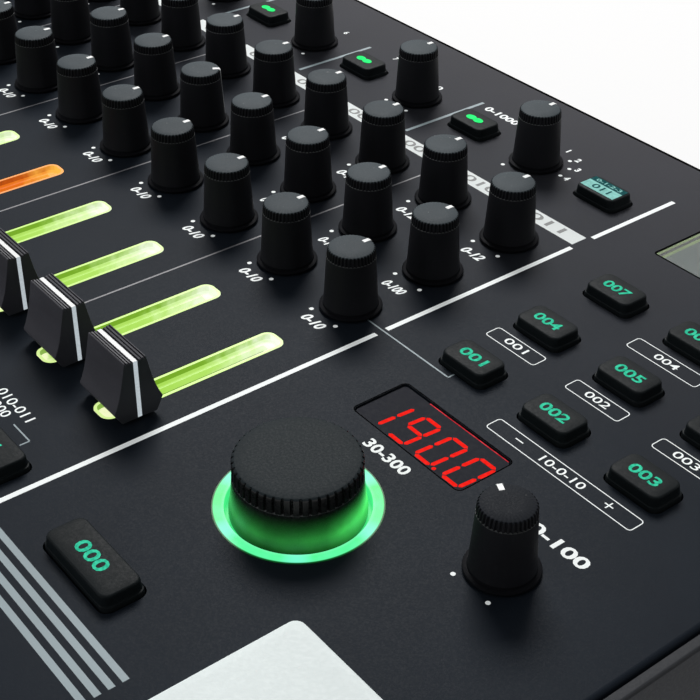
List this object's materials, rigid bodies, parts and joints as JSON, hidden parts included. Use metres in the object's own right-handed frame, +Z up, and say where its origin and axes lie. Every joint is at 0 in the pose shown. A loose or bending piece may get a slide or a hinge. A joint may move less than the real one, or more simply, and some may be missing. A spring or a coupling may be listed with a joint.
{
  "type": "drum machine",
  "caption": "Desktop drum machine: flat metal-topped case with sliding faders in lit slots, turning knobs, press keys, a pad and two displays.",
  "frame": {"origin": "bottom centre of the bounding box, on the table under the middle of the case", "axes": "+X to the player's right along the case's width, +Y away from the player towards the sockets, +Z up"},
  "size_m": [0.409, 0.263, 0.0583],
  "materials": {
    "panel_paint": "matt charcoal powder coat",
    "rear_paint": "matt charcoal powder coat",
    "case_plastic": "fine moulded grain",
    "foot_rubber": "matt",
    "screw_steel": "blackened",
    "circuit_board": "solder resist",
    "pot_steel": "plated",
    "lit_slot": "translucent, lit from below",
    "lit_ring": "translucent, lit from below",
    "led_display": "dark red filter",
    "clear_window": "clear",
    "lcd_bezel": "satin",
    "switch_plastic": "plain",
    "socket_plastic": "plain",
    "socket_steel": "plated",
    "knob_plastic": "soft-touch",
    "fader_plastic": "soft-touch",
    "key_plastic": "satin",
    "pad_rubber": "matt white"
  },
  "bodies": {
    "case": {"case_screws": "screw_steel", "case_tray": "case_plastic", "fader_light_guides": "lit_slot", "front_panel": "panel_paint", "jack_board": "circuit_board", "joined_knobs": "knob_plastic", "key_switches": "switch_plastic", "lcd_module": "lcd_bezel", "lcd_window": "clear_window", "main_board": "circuit_board", "midi_sockets": "socket_plastic", "phone_jacks": "socket_plastic", "pot_housings": "pot_steel", "power_inlet": "socket_plastic", "rear_plate": "rear_paint", "rubber_feet": "foot_rubber", "slide_pots": "pot_steel", "tempo_display": "led_display", "tempo_light_ring": "lit_ring", "usb_socket": "socket_steel"},
    "fader_11": {"fader_11": "fader_plastic"},
    "fader_7": {"fader_7": "fader_plastic"},
    "fader_1": {"fader_1": "fader_plastic"},
    "fader_10": {"fader_10": "fader_plastic"},
    "fader_9": {"fader_9": "fader_plastic"},
    "fader_8": {"fader_8": "fader_plastic"},
    "fader_6": {"fader_6": "fader_plastic"},
    "fader_5": {"fader_5": "fader_plastic"},
    "fader_4": {"fader_4": "fader_plastic"},
    "fader_3": {"fader_3": "fader_plastic"},
    "fader_2": {"fader_2": "fader_plastic"},
    "trigger_pad": {"trigger_pad": "pad_rubber"},
    "mute_key": {"mute_key": "key_plastic"},
    "start_key": {"start_key": "key_plastic"},
    "menu_keys": {"menu_keys": "key_plastic"},
    "effect_keys": {"effect_keys": "key_plastic"},
    "voice_keys": {"voice_keys": "key_plastic"},
    "step_keys": {"step_keys": "key_plastic"},
    "pattern_keys": {"pattern_keys": "key_plastic"},
    "power_button": {"power_button": "key_plastic"},
    "tempo_knob": {"tempo_knob": "knob_plastic"},
    "decay_knob_7": {"decay_knob_7": "knob_plastic"},
    "shuffle_knob": {"shuffle_knob": "knob_plastic"},
    "control_knob_11": {"control_knob_11": "knob_plastic"},
    "decay_knob_11": {"decay_knob_11": "knob_plastic"},
    "tune_knob_11": {"tune_knob_11": "knob_plastic"},
    "control_knob_10": {"control_knob_10": "knob_plastic"},
    "decay_knob_10": {"decay_knob_10": "knob_plastic"},
    "tune_knob_10": {"tune_knob_10": "knob_plastic"},
    "control_knob_9": {"control_knob_9": "knob_plastic"},
    "decay_knob_9": {"decay_knob_9": "knob_plastic"},
    "tune_knob_9": {"tune_knob_9": "knob_plastic"},
    "control_knob_8": {"control_knob_8": "knob_plastic"},
    "decay_knob_8": {"decay_knob_8": "knob_plastic"},
    "tune_knob_8": {"tune_knob_8": "knob_plastic"},
    "control_knob_7": {"control_knob_7": "knob_plastic"},
    "tune_knob_7": {"tune_knob_7": "knob_plastic"},
    "effect_knob": {"effect_knob": "knob_plastic"},
    "fill_knob": {"fill_knob": "knob_plastic"},
    "value_knob": {"value_knob": "knob_plastic"}
  },
  "joints": [
    {"name": "fader_11_slide", "type": "slide", "parent": "case", "child": "fader_11", "axis": [0, 1, 0], "range_m": [0, 0.03]},
    {"name": "fader_7_slide", "type": "slide", "parent": "case", "child": "fader_7", "axis": [0, 1, 0], "range_m": [0, 0.03]},
    {"name": "fader_1_slide", "type": "slide", "parent": "case", "child": "fader_1", "axis": [0, 1, 0], "range_m": [0, 0.03]},
    {"name": "fader_10_slide", "type": "slide", "parent": "case", "child": "fader_10", "axis": [0, 1, 0], "range_m": [0, 0.03]},
    {"name": "fader_9_slide", "type": "slide", "parent": "case", "child": "fader_9", "axis": [0, 1, 0], "range_m": [0, 0.03]},
    {"name": "fader_8_slide", "type": "slide", "parent": "case", "child": "fader_8", "axis": [0, 1, 0], "range_m": [0, 0.03]},
    {"name": "fader_6_slide", "type": "slide", "parent": "case", "child": "fader_6", "axis": [0, 1, 0], "range_m": [0, 0.03]},
    {"name": "fader_5_slide", "type": "slide", "parent": "case", "child": "fader_5", "axis": [0, 1, 0], "range_m": [0, 0.03]},
    {"name": "fader_4_slide", "type": "slide", "parent": "case", "child": "fader_4", "axis": [0, 1, 0], "range_m": [0, 0.03]},
    {"name": "fader_3_slide", "type": "slide", "parent": "case", "child": "fader_3", "axis": [0, 1, 0], "range_m": [0, 0.03]},
    {"name": "fader_2_slide", "type": "slide", "parent": "case", "child": "fader_2", "axis": [0, 1, 0], "range_m": [0, 0.03]},
    {"name": "trigger_pad_press", "type": "slide", "parent": "case", "child": "trigger_pad", "axis": [0, 0, -1], "range_m": [0, 0.001], "stiffness_N_per_m": 3000, "springref_m": -0.001},
    {"name": "mute_key_press", "type": "slide", "parent": "case", "child": "mute_key", "axis": [0, 0, -1], "range_m": [0, 0.001], "stiffness_N_per_m": 1500, "springref_m": -0.0005},
    {"name": "start_key_press", "type": "slide", "parent": "case", "child": "start_key", "axis": [0, 0, -1], "range_m": [0, 0.001], "stiffness_N_per_m": 1500, "springref_m": -0.0005},
    {"name": "menu_keys_press", "type": "slide", "parent": "case", "child": "menu_keys", "axis": [0, 0, -1], "range_m": [0, 0.001], "stiffness_N_per_m": 3000, "springref_m": -0.001},
    {"name": "effect_keys_press", "type": "slide", "parent": "case", "child": "effect_keys", "axis": [0, 0, -1], "range_m": [0, 0.001], "stiffness_N_per_m": 3000, "springref_m": -0.001},
    {"name": "voice_keys_press", "type": "slide", "parent": "case", "child": "voice_keys", "axis": [0, 0, -1], "range_m": [0, 0.001], "stiffness_N_per_m": 3000, "springref_m": -0.001},
    {"name": "step_keys_press", "type": "slide", "parent": "case", "child": "step_keys", "axis": [0, 0, -1], "range_m": [0, 0.001], "stiffness_N_per_m": 3000, "springref_m": -0.001},
    {"name": "pattern_keys_press", "type": "slide", "parent": "case", "child": "pattern_keys", "axis": [0, 0, -1], "range_m": [0, 0.001], "stiffness_N_per_m": 3000, "springref_m": -0.001},
    {"name": "power_button_press", "type": "slide", "parent": "case", "child": "power_button", "axis": [0, -1, 0], "range_m": [0, 0.002], "stiffness_N_per_m": 1500, "springref_m": -0.0005},
    {"name": "tempo_knob_turn", "type": "hinge", "parent": "case", "child": "tempo_knob", "pos_m": [0.1407, -0.0151, 0.05], "axis": [0, 0, 1], "continuous": true},
    {"name": "decay_knob_7_turn", "type": "hinge", "parent": "case", "child": "decay_knob_7", "pos_m": [0.0105, 0.0512, 0.05], "axis": [0, 0, 1], "range_deg": [-115, 185]},
    {"name": "shuffle_knob_turn", "type": "hinge", "parent": "case", "child": "shuffle_knob", "pos_m": [0.1735, 0.0014, 0.05], "axis": [0, 0, 1], "range_deg": [-215, 85]},
    {"name": "control_knob_11_turn", "type": "hinge", "parent": "case", "child": "control_knob_11", "pos_m": [0.0985, 0.0292, 0.05], "axis": [0, 0, 1], "range_deg": [-150, 150]},
    {"name": "decay_knob_11_turn", "type": "hinge", "parent": "case", "child": "decay_knob_11", "pos_m": [0.0985, 0.0512, 0.05], "axis": [0, 0, 1], "range_deg": [-150, 150]},
    {"name": "tune_knob_11_turn", "type": "hinge", "parent": "case", "child": "tune_knob_11", "pos_m": [0.0985, 0.0732, 0.05], "axis": [0, 0, 1], "range_deg": [-150, 150]},
    {"name": "control_knob_10_turn", "type": "hinge", "parent": "case", "child": "control_knob_10", "pos_m": [0.0765, 0.0292, 0.05], "axis": [0, 0, 1], "range_deg": [-150, 150]},
    {"name": "decay_knob_10_turn", "type": "hinge", "parent": "case", "child": "decay_knob_10", "pos_m": [0.0765, 0.0512, 0.05], "axis": [0, 0, 1], "range_deg": [-150, 150]},
    {"name": "tune_knob_10_turn", "type": "hinge", "parent": "case", "child": "tune_knob_10", "pos_m": [0.0765, 0.0732, 0.05], "axis": [0, 0, 1], "range_deg": [-150, 150]},
    {"name": "control_knob_9_turn", "type": "hinge", "parent": "case", "child": "control_knob_9", "pos_m": [0.0545, 0.0292, 0.05], "axis": [0, 0, 1], "range_deg": [-150, 150]},
    {"name": "decay_knob_9_turn", "type": "hinge", "parent": "case", "child": "decay_knob_9", "pos_m": [0.0545, 0.0512, 0.05], "axis": [0, 0, 1], "range_deg": [-150, 150]},
    {"name": "tune_knob_9_turn", "type": "hinge", "parent": "case", "child": "tune_knob_9", "pos_m": [0.0545, 0.0732, 0.05], "axis": [0, 0, 1], "range_deg": [-150, 150]},
    {"name": "control_knob_8_turn", "type": "hinge", "parent": "case", "child": "control_knob_8", "pos_m": [0.0325, 0.0292, 0.05], "axis": [0, 0, 1], "range_deg": [-150, 150]},
    {"name": "decay_knob_8_turn", "type": "hinge", "parent": "case", "child": "decay_knob_8", "pos_m": [0.0325, 0.0512, 0.05], "axis": [0, 0, 1], "range_deg": [-150, 150]},
    {"name": "tune_knob_8_turn", "type": "hinge", "parent": "case", "child": "tune_knob_8", "pos_m": [0.0325, 0.0732, 0.05], "axis": [0, 0, 1], "range_deg": [-150, 150]},
    {"name": "control_knob_7_turn", "type": "hinge", "parent": "case", "child": "control_knob_7", "pos_m": [0.0105, 0.0292, 0.05], "axis": [0, 0, 1], "range_deg": [-150, 150]},
    {"name": "tune_knob_7_turn", "type": "hinge", "parent": "case", "child": "tune_knob_7", "pos_m": [0.0105, 0.0732, 0.05], "axis": [0, 0, 1], "range_deg": [-150, 150]},
    {"name": "effect_knob_turn", "type": "hinge", "parent": "case", "child": "effect_knob", "pos_m": [0.0325, 0.1026, 0.05], "axis": [0, 0, 1], "range_deg": [-150, 150]},
    {"name": "fill_knob_turn", "type": "hinge", "parent": "case", "child": "fill_knob", "pos_m": [0.0765, 0.1026, 0.05], "axis": [0, 0, 1], "range_deg": [-150, 150]},
    {"name": "value_knob_turn", "type": "hinge", "parent": "case", "child": "value_knob", "pos_m": [0.1735, 0.074, 0.05], "axis": [0, 0, 1], "continuous": true}
  ]
}
